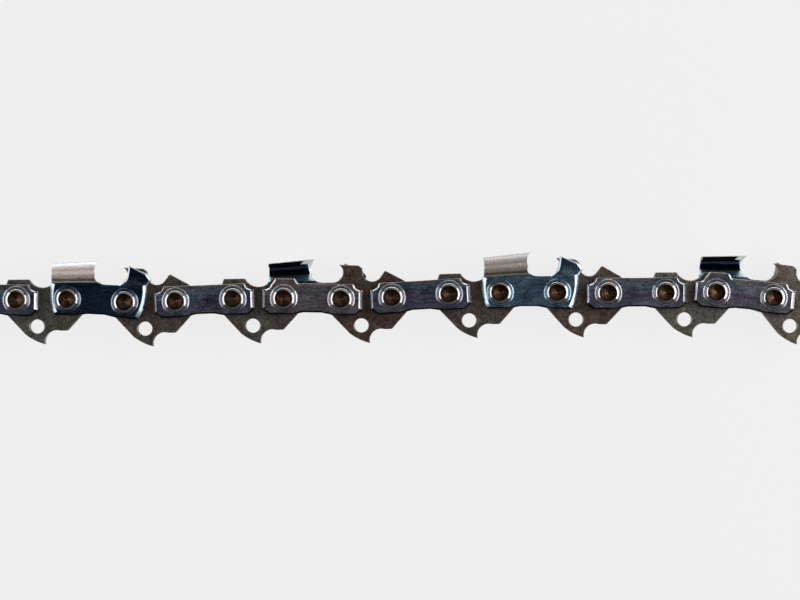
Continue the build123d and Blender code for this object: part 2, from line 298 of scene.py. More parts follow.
def away(loop):
    """Unit vectors away from the steel, and the factor that keeps an inset even round corners."""
    ahead = np.roll(loop, -1, axis=0) - loop
    ahead = ahead / np.linalg.norm(ahead, axis=1, keepdims=True)
    normal = np.stack([ahead[:, 1], -ahead[:, 0]], axis=-1)
    mean = normal + np.roll(normal, 1, axis=0)
    mean = mean / np.linalg.norm(mean, axis=1, keepdims=True)
    return mean, 1 / np.clip(np.sum(mean * normal, axis=1, keepdims=True), LEAST_COSINE, 1)


square = np.array([(0, 0), (1, 0), (1, 1), (0, 1)]) * MM
print("a square with softened corners has", len(soften(square, 0.1 * MM)), "points")

# %% [markdown]
# ## The edge of a plate
#
# Light catches a steel plate at its edges, so these matter more than the flat faces. The edge is
# a bevel or a flattened round, then a straight wall, and a small edge below. This profile is
# carried along the outline, moved inwards at each point by the width there. Points on the edge
# get a mark: above zero they are worn, because that is where a coat wears off, and some of that
# is painted highlight; below zero the mark is painted shade, which darkens the edge.

# %% Edges
CLOSING_STEPS = 200
CLOSED = 0.002 * MM
ALIKE = 0.05 * MM
# From the flat face to the wall: shares of the width inwards and down, and the tilt in degrees
BEVEL = np.array([(1, 0, 0), (0.94, 0.06, 24), (0.8, 0.2, 43), (0.2, 0.8, 47), (0.06, 0.94, 66),
                  (0, 1, 90)])
ROUND = np.array([(1, 0, 0), (0.93, 0.02, 16), (0.82, 0.07, 27), (0.62, 0.22, 38), (0.38, 0.44, 44),
                  (0.18, 0.66, 51), (0.06, 0.85, 66), (0, 1, 90)])


def inset(loop, width):
    """The outline moved inwards by the width; a tight corner closes up where it would fold over."""
    out, even = away(loop)
    inner = loop - out * even * width
    ahead = np.roll(loop, -1, axis=0) - loop
    ahead = ahead / np.linalg.norm(ahead, axis=1, keepdims=True)
    alike = np.abs(np.roll(width, -1, axis=0) - width) < ALIKE
    for _ in range(CLOSING_STEPS):
        run = np.sum((np.roll(inner, -1, axis=0) - inner) * ahead, axis=1, keepdims=True)
        push = ahead * np.where(alike & (run < CLOSED), (CLOSED - run) / 2, 0)
        inner = inner - push + np.roll(push, 1, axis=0)
    return inner


def edge_rows(loop, width, face, side, edge, rub_and_painted_light):
    """Rows of one edge: each point goes its shares of the way to the inset and below the face."""
    out, inner = away(loop)[0], inset(loop, width)
    points, normals, worn = [], [], []
    for inside, down, tilt in edge:
        tilt = math.radians(tilt)
        points.append(np.hstack([loop + (inner - loop) * inside, face - side * width * down]))
        upright = np.full((len(loop), 1), side * math.cos(tilt))
        normals.append(np.hstack([out * math.sin(tilt), upright]))
        worn.append(rub_and_painted_light * math.sqrt(max(math.sin(2 * tilt), 0)))
    return (points, normals, worn) if side > 0 else (points[::-1], normals[::-1], worn[::-1])


print("rows of a bevel:", len(BEVEL), "rows of a round:", len(ROUND))

# %% [markdown]
# ## The whole plate
#
# A plate is its upper and lower edges with two flat faces. Extruding the outline would give the
# faces and walls, but no edges with a width that changes. So the rows of both edges become rings
# of quads round every outline and hole, and triangles fill each flat face between them. The far
# side's plates are mirror images, and a ring or another part can be joined to a plate.

# %% Plates


def flat_cover(points, rings):
    """Triangles that fill an outline with holes, all counter-clockwise seen from above."""
    index = np.concatenate(rings)
    fill = tessellate_polygon([[Vector((*points[i, :2], 0)) for i in ring] for ring in rings])
    fill = np.array([tri if area(points[index[list(tri)], :2]) > 0 else tri[::-1] for tri in fill])
    return index[fill]


def plate(loops, low, high, widths, low_width, rubs_and_painted_light, edge=BEVEL):
    """Points, normals, faces, and wear and painted light of a plate with worked edges along its
    outline and holes.
    """
    points, normals, faces, worn, tops, bottoms = [], [], [], [], [], []
    first = 0
    for loop, width, rub_and_painted_light in zip(loops, widths, rubs_and_painted_light):
        width = np.broadcast_to(np.asarray(width, float).reshape(-1, 1), (len(loop), 1))
        rub_and_painted_light = np.broadcast_to(np.asarray(rub_and_painted_light, float), len(loop))
        upper = edge_rows(loop, width, high, 1, edge, rub_and_painted_light)
        lower = edge_rows(loop, np.full_like(width, low_width), low, -1, edge, rub_and_painted_light)
        rows = upper[0] + lower[0]
        points += rows
        normals += upper[1] + lower[1]
        worn += upper[2] + lower[2]
        faces.append(ring_quads(len(rows), len(loop), first)[:, ::-1])
        tops.append(np.arange(first, first + len(loop)))
        first += len(rows) * len(loop)
        bottoms.append(np.arange(first - len(loop), first))
    points, normals = np.concatenate(points), np.concatenate(normals)
    covers = flat_cover(points, tops), flat_cover(points, bottoms)[:, ::-1]
    faces = [*np.concatenate(faces).tolist(), *np.concatenate(covers).tolist()]
    return points, normals, faces, np.concatenate(worn)


def mirrored(points, normals, faces, worn, height=0.0):
    """The far side's copy: heights above a level and normals change sign, faces turn round."""
    points, normals = points * [1, 1, -1] + [0, 0, 2 * height], normals * [1, 1, -1]
    return points, normals, [face[::-1] for face in faces], worn


def join_parts(parts):
    """Several sets of points, normals, faces, and wear and painted light as one, with the faces
    counted on.
    """
    counts = np.cumsum([0] + [len(part[0]) for part in parts])
    faces = [[i + start for i in face] for part, start in zip(parts, counts) for face in part[2]]
    return (*(np.concatenate([part[k] for part in parts]) for k in (0, 1)), faces,
            np.concatenate([part[3] for part in parts]))


disc = plate([circle(0, 0, MM)], 0, MM, [0.1 * MM], 0.1 * MM, [1])
print("a disc with bevelled edges has", len(disc[2]), "faces")

# %% [markdown]
# ## Finishes
#
# Three kinds of steel meet in a chain. Drive links are phosphated: a dark brown, matt, grainy
# coat. Straps and cutter bodies are blued, a satin film that goes from slate violet to teal.
# Rivet heads and ground faces are bare and bright. Each finish is a small node tree, put together
# by helpers, one for each kind of node. It reads the place on the link in millimetres, so the
# grain keeps its real size on every piece. The first helpers start a finish and vary a value.

# %% Finish helpers


def new_finish(name, metallic, specular=0.5):
    """An empty finish with one shader; what is the same all over is set on the shader itself."""
    material = bpy.data.materials.new(name)
    material.use_nodes = True
    shader = material.node_tree.nodes["Principled BSDF"]
    shader.inputs["Metallic"].default_value = metallic
    shader.inputs["Specular IOR Level"].default_value = specular
    return material, material.node_tree, shader


def kept(tree, name, output="Fac"):
    """What the mesh keeps under a name."""
    node = tree.nodes.new("ShaderNodeAttribute")
    node.attribute_name = name
    return node.outputs[output]


def grain(tree, scale, detail, stretch=(1, 1, 1), roughness=0.6):
    """Noise with about `scale` grains in a millimetre, stretched along the link if asked."""
    mapping = tree.nodes.new("ShaderNodeMapping")
    mapping.inputs["Scale"].default_value = stretch
    noise = tree.nodes.new("ShaderNodeTexNoise")
    noise.inputs["Scale"].default_value = scale
    noise.inputs["Detail"].default_value = detail
    noise.inputs["Roughness"].default_value = roughness
    tree.links.new(kept(tree, "place", "Vector"), mapping.inputs["Vector"])
    tree.links.new(mapping.outputs["Vector"], noise.inputs["Vector"])
    return noise.outputs["Fac"]


def ramp(tree, value, stops):
    """A colour for each value: stops are pairs of a place from 0 to 1 and a colour."""
    node = tree.nodes.new("ShaderNodeValToRGB")
    elements = node.color_ramp.elements
    for i, (at, colour) in enumerate(stops):
        element = elements[i] if i < 2 else elements.new(at)
        element.position = at
        element.color = (*colour, 1)
    tree.links.new(value, node.inputs["Fac"])
    return node.outputs["Color"]


def spread(tree, value, low, high, start=0.3, end=0.7):
    """The value's stretch between start and end, laid out between two numbers."""
    node = tree.nodes.new("ShaderNodeMapRange")
    for key, number in (("From Min", start), ("From Max", end), ("To Min", low), ("To Max", high)):
        node.inputs[key].default_value = number
    tree.links.new(value, node.inputs["Value"])
    return node.outputs["Result"]


print("materials before the finishes:", len(bpy.data.materials))

# %% [markdown]
# ## Putting values together
#
# The other helpers add up values, lay colours over each other, and tell a flat face from a wall,
# since a coat looks different on each. A bump stands for grain too fine to be modelled.

# %% Mixing helpers
WALL_LEAN, FACE_LEAN = 0.1, 0.45


def sums(tree, operation, first, second):
    """Two values added, multiplied or compared for the larger."""
    node = tree.nodes.new("ShaderNodeMath")
    node.operation = operation
    tree.links.new(first, node.inputs[0])
    tree.links.new(second, node.inputs[1])
    return node.outputs["Value"]


def blend(tree, share, first, second, how="MIX"):
    """Two colours laid over each other; the share and the colours may be plain ones."""
    node = tree.nodes.new("ShaderNodeMix")
    node.data_type = "RGBA"
    node.blend_type = how
    if isinstance(share, float):
        node.inputs["Factor"].default_value = share
    else:
        tree.links.new(share, node.inputs["Factor"])
    for socket, colour in ((node.inputs[6], first), (node.inputs[7], second)):
        if isinstance(colour, tuple):
            socket.default_value = (*colour, 1)
        else:
            tree.links.new(colour, socket)
    return node.outputs[2]


def shaded(tree, colour, value):
    """A colour made darker or lighter: each of its parts times the value."""
    node = tree.nodes.new("ShaderNodeVectorMath")
    node.operation = "SCALE"
    tree.links.new(colour, node.inputs[0])
    tree.links.new(value, node.inputs["Scale"])
    return node.outputs["Vector"]


def dent(tree, shader, value, depth, strength):
    """Height from the value, up to `depth`, as bumps in the shader's normal."""
    node = tree.nodes.new("ShaderNodeBump")
    node.inputs["Distance"].default_value = depth
    node.inputs["Strength"].default_value = strength
    tree.links.new(value, node.inputs["Height"])
    tree.links.new(node.outputs["Normal"], shader.inputs["Normal"])


def across_link(tree, low, high):
    """How far up the link a point is: 0 at the low line, 1 at the high one, both in millimetres."""
    split = tree.nodes.new("ShaderNodeSeparateXYZ")
    tree.links.new(kept(tree, "place", "Vector"), split.inputs["Vector"])
    return spread(tree, split.outputs["Y"], 0, 1, low, high)


def facing_out(tree):
    """1 on a plate's flat faces and 0 on its walls: the height of the surface's normal, squared."""
    split = tree.nodes.new("ShaderNodeSeparateXYZ")
    tree.links.new(tree.nodes.new("ShaderNodeTexCoord").outputs["Normal"], split.inputs["Vector"])
    upright = sums(tree, "MULTIPLY", split.outputs["Z"], split.outputs["Z"])
    return spread(tree, upright, 0.0, 1.0, WALL_LEAN, FACE_LEAN)


print("a face is flat where its normal's height is over", round(math.sqrt(FACE_LEAN), 2))

# %% [markdown]
# ## Phosphated steel
#
# Drive links leave the phosphate bath dark, matt and grainy, one more olive, the next more red.
# One flat brown would look like plastic. So two ramps of colour lie over the same blotches and
# are mixed by the link's own warmth, a fine grain darkens and roughens them, and edges are rubbed.

# %% Phosphated steel
OLIVE_TINTS = [(0.32, (0.120, 0.115, 0.095)), (0.50, (0.180, 0.172, 0.150)),
               (0.68, (0.235, 0.225, 0.190))]
BROWN_TINTS = [(0.32, (0.130, 0.072, 0.055)), (0.50, (0.190, 0.118, 0.098)),
               (0.68, (0.220, 0.165, 0.130))]
RUBBED_COAT = (0.42, 0.38, 0.34)


def phosphate_finish():
    """Matt coat, olive grey to red brown by the link's warmth: blotches, grain, rubbed edges."""
    material, tree, shader = new_finish("phosphated_steel", 0.8)
    patches = grain(tree, 0.55, 6, roughness=0.7)
    fine = grain(tree, 2.6, 4, roughness=0.7)
    olive = ramp(tree, patches, OLIVE_TINTS)
    brown = ramp(tree, patches, BROWN_TINTS)
    warm = sums(tree, "ADD", kept(tree, "warm"), spread(tree, patches, 0.22, -0.22))
    colour = blend(tree, warm, olive, brown)
    shade = sums(tree, "MULTIPLY", kept(tree, "tone"), spread(tree, fine, 0.35, 1.75))
    colour = shaded(tree, colour, shade)
    rubbed = sums(tree, "MULTIPLY", kept(tree, "worn"), spread(tree, patches, 0.1, 0.6))
    tree.links.new(blend(tree, rubbed, colour, RUBBED_COAT), shader.inputs["Base Color"])
    tree.links.new(spread(tree, fine, 0.38, 0.56), shader.inputs["Roughness"])
    dent(tree, shader, fine, 0.03 * MM, 0.6)
    return material


phosphate = phosphate_finish()
print(phosphate.name, "has", len(phosphate.node_tree.nodes), "nodes")

# %% [markdown]
# ## Blued steel
#
# Heat tints the polished side plates, and the tint changes with the thickness of the film: violet,
# slate and teal lie in bands along the link. A ramp across the link gives the bands, and clouds
# and rolling streaks push them about. The bands also stand for what a slightly crowned face would
# mirror, so they are partly painted reflection. The film is rubbed off the edges, and a wall where
# the plate was sheared never had it; painted shade darkens the lower edges. Straps are slate,
# cutter bodies navy, with a painted highlight along the gauge's bend and painted shade above it.

# %% Blued steel
PLATE_FOOT, STRAP_TOP, GAUGE_TOP = -2.75, 2.6, 5.6
# The bands across the strap are heat tint and partly painted reflection, standing for what a
# slightly crowned face would mirror.
SLATE_TINTS_AND_SHEEN = [
    (0.0, (0.20, 0.21, 0.27)), (0.20, (0.17, 0.19, 0.255)), (0.42, (0.145, 0.130, 0.215)),
    (0.58, (0.13, 0.145, 0.21)), (0.74, (0.16, 0.235, 0.295)), (0.88, (0.18, 0.225, 0.275)),
    (1.0, (0.22, 0.195, 0.185))]
SLATE_FADED, SLATE_BARE = (0.20, 0.160, 0.165), (0.82, 0.82, 0.85)
# Heat tint of the cutter body; the lighter stop at 0.76 is a painted highlight along the gauge's
# bend.
NAVY_TINTS_AND_BEND_SHEEN = [
    (0.0, (0.060, 0.110, 0.170)), (0.22, (0.055, 0.105, 0.190)), (0.42, (0.045, 0.090, 0.180)),
    (0.62, (0.040, 0.085, 0.165)), (0.76, (0.110, 0.180, 0.215)), (0.84, (0.045, 0.075, 0.145)),
    (1.0, (0.040, 0.070, 0.135))]
NAVY_FADED, NAVY_BARE = (0.080, 0.125, 0.165), (0.70, 0.84, 0.92)
# Painted light on the gauge: a pale painted highlight at its bend, 0.77 to 0.81, and painted shade
# above it.
NAVY_BEND_HIGHLIGHT_AND_SHADE = [
    (0.0, (0.66, 0.66, 0.66)), (0.70, (0.62, 0.62, 0.62)), (0.77, (1.0, 0.98, 0.95)),
    (0.81, (0.95, 0.95, 0.95)), (0.86, (0.40, 0.40, 0.46)), (1.0, (0.44, 0.44, 0.50))]
SHEARED_STEEL = [(0.3, (0.075, 0.072, 0.072)), (0.7, (0.120, 0.115, 0.112))]


def blued_finish(name, low, high, tints_and_sheen, faded, bare, bands=()):
    """Satin film: tint in bands along the link, partly painted reflection, moved by clouds and
    streaks; painted light at a bend if given, painted shade on lower edges; bare walls.
    """
    material, tree, shader = new_finish(name, 0.9)
    clouds = grain(tree, 0.30, 4)
    streaks = grain(tree, 2.0, 5, (0.25, 2.2, 1), 0.65)
    specks = grain(tree, 2.8, 3)
    height = across_link(tree, low, high)
    height = sums(tree, "ADD", height, spread(tree, clouds, -0.16, 0.16))
    height = sums(tree, "ADD", height, spread(tree, streaks, -0.10, 0.10))
    colour = blend(tree, kept(tree, "warm"), ramp(tree, height, tints_and_sheen), faded)
    if bands:
        # The bend ramp multiplies in a painted highlight and painted shade.
        colour = blend(tree, 1.0, colour, ramp(tree, height, bands), "MULTIPLY")
    shade = sums(tree, "MULTIPLY", kept(tree, "tone"), spread(tree, clouds, 0.45, 1.55))
    shade = sums(tree, "MULTIPLY", shade, spread(tree, streaks, 0.50, 1.50))
    shade = sums(tree, "MULTIPLY", shade, spread(tree, specks, 0.55, 1.45))
    colour = shaded(tree, colour, shade)
    sheared = ramp(tree, specks, SHEARED_STEEL)
    colour = blend(tree, facing_out(tree), sheared, colour)
    worn = kept(tree, "worn")
    # Bare steel where the mark is above zero: rubbed edges, and the painted highlight left and right
    # on the raised rings.
    rubbed = sums(tree, "MULTIPLY", worn, spread(tree, streaks, 0.92, 1.0))
    colour = blend(tree, rubbed, colour, bare)
    # Painted shade: where the mark is below zero, on the lower edges, the colour is darkened.
    colour = shaded(tree, colour, spread(tree, worn, 0.06, 1.0, -0.5, 0.0))
    tree.links.new(colour, shader.inputs["Base Color"])
    rolled = sums(tree, "MULTIPLY", streaks, spread(tree, worn, 1.0, 0.0, 0.0, 0.3))
    tree.links.new(spread(tree, rolled, 0.24, 0.34), shader.inputs["Roughness"])
    dent(tree, shader, rolled, 0.004 * MM, 0.2)
    return material


slate = blued_finish("blued_slate", PLATE_FOOT, STRAP_TOP, SLATE_TINTS_AND_SHEEN, SLATE_FADED, SLATE_BARE)
navy = blued_finish("blued_navy", PLATE_FOOT, GAUGE_TOP, NAVY_TINTS_AND_BEND_SHEEN, NAVY_FADED, NAVY_BARE,
                    NAVY_BEND_HIGHLIGHT_AND_SHADE)
print(slate.name, "has", len(slate.node_tree.nodes), "nodes")

# %% [markdown]
# ## The blade's outside
#
# The top plate of a cutter is satin plated outside. It bends through a quarter turn, and its
# lines of colour follow the bend, so each point of the mesh keeps how far round the section it
# lies, its girth, and a ramp over the girth lays the lines. Besides the plate's tan and pink grey,
# the lines paint light: a light line and a dark brown band of painted shade at the foot of the
# bend, and pale painted highlights higher up. Streaks along the blade break them up.

# %% Satin plate
# The light line at 0 and the dark brown at 0.06 to 0.11 are painted highlight and painted shade at
# the foot of the bend; the pale stops at 0.34 and 0.51 to 0.60 are painted highlights.
SATIN_TINT_AND_LIGHT = [
    (0.0, (0.62, 0.60, 0.56)), (0.04, (0.50, 0.47, 0.43)), (0.06, (0.14, 0.11, 0.095)),
    (0.11, (0.20, 0.155, 0.13)), (0.17, (0.62, 0.55, 0.48)), (0.27, (0.66, 0.59, 0.53)),
    (0.34, (0.86, 0.78, 0.73)), (0.40, (0.58, 0.45, 0.38)), (0.45, (0.66, 0.53, 0.46)),
    (0.51, (0.66, 0.67, 0.69)), (0.60, (0.68, 0.68, 0.70)), (0.70, (0.50, 0.48, 0.47)),
    (1.0, (0.46, 0.45, 0.45))]


def satin_finish():
    """Satin plate on the shoulder: a painted light line and painted shade at the brown foot, tan and
    pink grey round the bend, a pale painted highlight at the top.
    """
    material, tree, shader = new_finish("satin_plate", 0.15)
    streaks = grain(tree, 1.6, 6, (0.3, 3.5, 2.0), 0.7)
    specks = grain(tree, 3.2, 3)
    girth = sums(tree, "ADD", kept(tree, "girth"), spread(tree, streaks, -0.02, 0.02))
    colour = ramp(tree, girth, SATIN_TINT_AND_LIGHT)
    shade = sums(tree, "MULTIPLY", spread(tree, specks, 0.76, 1.18),
                 spread(tree, streaks, 0.75, 1.15))
    shade = sums(tree, "MULTIPLY", shade, kept(tree, "tone"))
    tree.links.new(spread(tree, girth, 0.15, 0.9, 0.55, 0.70), shader.inputs["Metallic"])
    tree.links.new(shaded(tree, colour, shade), shader.inputs["Base Color"])
    tree.links.new(spread(tree, streaks, 0.34, 0.5), shader.inputs["Roughness"])
    dent(tree, shader, streaks, 0.02 * MM, 0.4)
    return material


satin = satin_finish()
print(satin.name, "has", len(satin.node_tree.nodes), "nodes")

# %% [markdown]
# ## The blade's inside and its ground edge
#
# Inside its bend the blade is still blued. Shade falls there under the blade, so the colour is
# painted almost black as shade, with a teal foot and one painted blue sheen where it turns. Its
# front was cut by a file, so it is bright bare steel with fine scratches. Both are short trees.

# %% Hollow and ground steel
# Girth stops: the black from 0.25 on is painted shade under the blade, the blue at 0.53 to 0.59 a
# painted sheen.
HOLLOW_SHADE_AND_SHEEN = [
    (0.0, (0.34, 0.58, 0.64)), (0.17, (0.24, 0.50, 0.58)), (0.25, (0.006, 0.010, 0.016)),
    (0.46, (0.004, 0.005, 0.010)), (0.53, (0.15, 0.18, 0.34)), (0.59, (0.15, 0.18, 0.34)),
    (0.66, (0.006, 0.008, 0.014)), (1.0, (0.010, 0.012, 0.018))]
GROUND_TINTS = [(0.3, (0.52, 0.52, 0.53)), (0.7, (0.74, 0.74, 0.75))]


def hollow_finish():
    """Inside of the top plate: a teal foot, a black wall and a dark edge painted as shade, a painted
    blue sheen in the bend.
    """
    material, tree, shader = new_finish("blued_hollow", 0.9)
    streaks = grain(tree, 2.2, 5, (0.25, 2.4, 1.5), 0.65)
    girth = sums(tree, "ADD", kept(tree, "girth"), spread(tree, streaks, -0.03, 0.03))
    tree.links.new(ramp(tree, girth, HOLLOW_SHADE_AND_SHEEN), shader.inputs["Base Color"])
    tree.links.new(spread(tree, streaks, 0.25, 0.4), shader.inputs["Roughness"])
    return material


def ground_finish():
    """Freshly ground face: bright steel with fine parallel scratches."""
    material, tree, shader = new_finish("ground_steel", 0.7)
    scratches = grain(tree, 5.0, 3, (1, 0.1, 1))
    tree.links.new(ramp(tree, scratches, GROUND_TINTS), shader.inputs["Base Color"])
    tree.links.new(spread(tree, scratches, 0.25, 0.4), shader.inputs["Roughness"])
    return material


hollow = hollow_finish()
ground = ground_finish()
print(hollow.name, "and", ground.name)

# %% [markdown]
# ## Spun rivet heads
#
# The spinning tool polishes the flank of a rivet head and leaves its middle brown and rough. The
# head is round, so the finish needs only the distance from the axis, which the mesh keeps. A ramp
# over that distance changes colour and roughness at the crest.

# %% Spun rivets
RIVET_RINGS = [
    (0.0, (0.17, 0.095, 0.055)), (0.45, (0.12, 0.064, 0.036)), (0.66, (0.055, 0.030, 0.020)),
    (0.770, (0.050, 0.034, 0.024)), (0.795, (0.82, 0.80, 0.77)), (1.0, (0.66, 0.65, 0.64))]


def rivet_finish():
    """Bright rim, bronze brown middle: colour and roughness follow the distance from the axis."""
    material, tree, shader = new_finish("spun_rivet", 0.95)
    fine = grain(tree, 1.7, 4)
    ring = sums(tree, "ADD", kept(tree, "from_axis"), spread(tree, fine, -0.01, 0.01))
    colour = ramp(tree, ring, RIVET_RINGS)
    patch = spread(tree, fine, 0.15, 1.75)
    share = spread(tree, ring, 0.9, 0.0, 0.7, 0.78)
    colour = blend(tree, share, colour, shaded(tree, colour, patch))
    tree.links.new(colour, shader.inputs["Base Color"])
    tree.links.new(spread(tree, ring, 0.30, 0.13, 0.76, 0.79), shader.inputs["Roughness"])
    dent(tree, shader, sums(tree, "MULTIPLY", fine, share), 0.12 * MM, 0.6)
    return material


bronze = rivet_finish()
print("finishes:", [m.name for m in bpy.data.materials])

# %% [markdown]
# ## No two links alike
#
# Coats come out of the bath a little different from link to link. Every link keeps two numbers:
# how light it is, and how warm. A drive link goes from olive grey at 0 to red brown at 1, a side
# plate from clear blue or violet at 0 to a faded grey at 1. The finishes read them. The last two
# drive links are also set lighter, as painted light for the brighter right end of the row.

# %% Tones
STRAP_TONE = dict(zip(range(1, 9), (1.2, 1.3, 1.3, 1.6, 1.2, 1.3, 1.4, 1.5)))
STRAP_WARM = dict(zip(range(1, 9), (0.0, 0.4, 0.0, 0.7, 0.1, 0.3, 0.2, 0.4)))
CUTTER_TONE = {2: 1.1, 4: 1.7, 6: 3.3, 8: 2.2}
CUTTER_WARM = {2: 0.0, 4: 0.3, 6: 0.75, 8: 0.5}
SHOULDER_TONE = {2: 1.5, 4: 0.95, 6: 0.88, 8: 0.9}
# Drive links 7 and 8 are lighter as painted light for the brighter right end of the row.
DRIVE_TONE = dict(zip(range(1, 9), (1.1, 0.95, 1.05, 0.9, 1.0, 1.05, 1.35, 1.4)))
DRIVE_WARM = dict(zip(range(1, 9), (0.0, 0.4, 0.35, 0.95, 0.5, 0.6, 0.15, 0.4)))
print("lightest strap:", max(STRAP_TONE, key=STRAP_TONE.get))

# %% [markdown]
# ## Drive links
#
# A drive link is one stamped plate. Its outline and its three holes come straight from the frame.
# The edges get a small bevel from tumbling, the oil hole, which is the smallest one, a wider one.

# %% Drive links
DRIVE_EDGE = 0.10 * MM
OIL_HOLE_EDGE = 0.2 * MM
DRIVE_CORNER = 0.16 * MM
DRIVE_RUB = 0.6
drive_names = sorted(name for name in nodes if name.startswith(("drive_link", "guard_link")))
for name in drive_names:
    low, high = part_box(name)
    loops = [soften(loop, DRIVE_CORNER) for loop in read_outline(name, high.z)]
    widths = [DRIVE_EDGE, DRIVE_EDGE, DRIVE_EDGE, OIL_HOLE_EDGE]
    rubs_and_painted_light = [DRIVE_RUB] * len(loops)
    points, normals, faces, worn = plate(loops, low.z, high.z, widths, DRIVE_EDGE, rubs_and_painted_light)
    number = int(name.split("_")[-1])
    piece = make_piece("plate_" + name, points, faces, 2 * number - 1, nodes[name]["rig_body"],
                       [phosphate], "drive_link_steel", normals, worn=worn,
                       tone=DRIVE_TONE[number], warm=DRIVE_WARM[number])
    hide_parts(name)
print("drive links:", len(drive_names))

# %% [markdown]
# ## Raised rings
#
# Where a rivet head was spun down, the tool left a raised ring around it on the side plate. A
# torus would stand too high and too round. Here a low bump, given as radius and height, is turned
# about the rivet's axis and closed underneath. The same helpers turn the rivets further below.

# %% Raised rings
RING_INSIDE = 1.78 * MM
RING_OUTSIDE = 2.42 * MM
RING_HEIGHT = 0.22 * MM
RING_STEPS = 13
# Painted highlight: the ring is made brightest left and right, as |cos a|, where the side lamps
# stand.
RING_WEAR_AND_SIDE_HIGHLIGHT = 0.5
SINK = 0.02 * MM
TURN_STEPS = 64


def turned_shape(profile, centre, out=1):
    """Radius r and height h turned about an axis: x = r cos a, y = r sin a, z = out times h."""
    angle = np.linspace(0, 2 * np.pi, TURN_STEPS, endpoint=False)
    radius, height = profile[:, :1], profile[:, 1:]
    grid = np.stack([centre[0] + radius * np.cos(angle), centre[1] + radius * np.sin(angle),
                     centre[2] + out * height + 0 * angle], axis=-1)
    faces = ring_quads(len(profile), TURN_STEPS)
    return grid.reshape(-1, 3), faces if out > 0 else faces[:, ::-1]


def turned_normals(profile, out):
    """Normals of a profile that runs inwards: its tangent turned by 90 degrees, at every angle."""
    slope = np.gradient(profile, axis=0)
    slope = slope / np.linalg.norm(slope, axis=1, keepdims=True)
    angle = np.linspace(0, 2 * np.pi, TURN_STEPS, endpoint=False)
    side, up = slope[:, 1:], -slope[:, :1]
    grid = np.stack([side * np.cos(angle), side * np.sin(angle), out * up + 0 * angle], axis=-1)
    return grid.reshape(-1, 3)


def spun_ring(centre, out):
    """Height h sin(pi t) between two radii, turned; most rubbed left and right, as |cos a|, which is
    a painted highlight.
    """
    t = np.linspace(0, 1, RING_STEPS)
    radius = RING_INSIDE + (RING_OUTSIDE - RING_INSIDE) * t
    profile = np.stack([radius, RING_HEIGHT * np.sin(np.pi * t) - SINK], axis=-1)[::-1]
    points, faces = turned_shape(profile, centre, out)
    last = len(points) - TURN_STEPS
    underside = ring_quads(2, TURN_STEPS) % TURN_STEPS + [0, 0, last, last]
    faces = np.concatenate([faces, underside[:, ::-out]])
    angle = np.linspace(0, 2 * np.pi, TURN_STEPS, endpoint=False)
    wear_and_side_highlight = (RING_WEAR_AND_SIDE_HIGHLIGHT * np.sin(np.pi * t)[:, None] * np.abs(np.cos(angle))).ravel()
    return points, turned_normals(profile, out), faces.tolist(), wear_and_side_highlight


def rings_on(rear, face, out):
    """The raised rings on a side plate whose outer face is at a height; an open hole has none."""
    ends = [rear, rear + 1] if rear > 0 else [rear + 1]
    return [spun_ring((*rivet_line[end, :2], face), out) for end in ends]


print("points of a raised ring:", len(spun_ring((0, 0, 0), 1)[0]))

# %% [markdown]
# ## Straps
#
# A strap is a plate too. Its ends are bevelled on the outside, which gives the bright upright
# strips in the row, and its lower edge is rounder than its upper one and darkened by painted
# shade. Edges that slope up and aside are rubbed bare, partly as a painted highlight. So the
# width, the wear and the painted light of the edge are worked out along the outline, from where
# each point faces.

# %% Straps
STRAP_EDGE = 0.07 * MM
LOWER_EDGE = 0.28 * MM
STRAP_CORNER = 0.2 * MM
REAR_BEVEL = 0.42 * MM
FRONT_BEVEL = 0.75 * MM
END_REACH = 0.02 * MM
FACES_UP, FACES_DOWN, FACES_ASIDE = 0.15, -0.5, 0.3
# Slopes that face up and aside are rubbed bare more than the top edge, partly as a painted
# highlight.
REAR_RUB, FRONT_RUB, SLOPE_RUB_AND_HIGHLIGHT, UPPER_RUB, HOLE_RUB = 0.5, 1.0, 0.6, 0.05, 0.2
# Painted shade: a mark below zero darkens the lower edges of straps and cutters.
LOWER_EDGE_SHADE = -0.6


def strap_edges(loop, rear):
    """Width, wear and painted light of a strap's edge by where it faces: widest at both ends,
    painted shade below, a painted highlight on the slopes.
    """
    along, out = in_link(loop, rear)[:, 0], away(loop)[0]
    at_rear, at_front = along < along.min() + END_REACH, along > along.max() - END_REACH
    slope = (out[:, 1] > FACES_UP) & (np.abs(out[:, 0]) > FACES_ASIDE)
    below = out[:, 1] < FACES_DOWN
    width = np.where(below | slope, LOWER_EDGE, STRAP_EDGE)
    width = np.where(at_rear, REAR_BEVEL, np.where(at_front, FRONT_BEVEL, width))
    rub_and_painted_light = np.where(slope, SLOPE_RUB_AND_HIGHLIGHT, np.where(below, LOWER_EDGE_SHADE, UPPER_RUB))
    return width, np.where(at_rear, REAR_RUB, np.where(at_front, FRONT_RUB, rub_and_painted_light))


def strap_piece(name, number, far):
    """A strap from the outline of its inner face, with bevelled ends and a ring at each rivet."""
    rear = 2 * (number - 1)
    low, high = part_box(name)
    inner, outer = (high.z, low.z) if far else (low.z, high.z)
    loops = [soften(loop, STRAP_CORNER) for loop in read_outline(name, inner)]
    width, rub_and_painted_light = strap_edges(loops[0], rear)
    holes = len(loops) - 1
    sheet = plate(loops, inner, inner + abs(outer - inner), [width] + [STRAP_EDGE] * holes,
                  STRAP_EDGE, [rub_and_painted_light] + [HOLE_RUB] * holes)
    if far:
        sheet = mirrored(*sheet, height=inner)
    points, normals, faces, worn = join_parts([sheet, *rings_on(rear, outer, -1 if far else 1)])
    piece = make_piece("plate_" + name, points, faces, rear, f"pair_{number}", [slate],
                       "strap_steel", normals, worn=worn, tone=STRAP_TONE[number],
                       warm=STRAP_WARM[number])
    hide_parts(name)


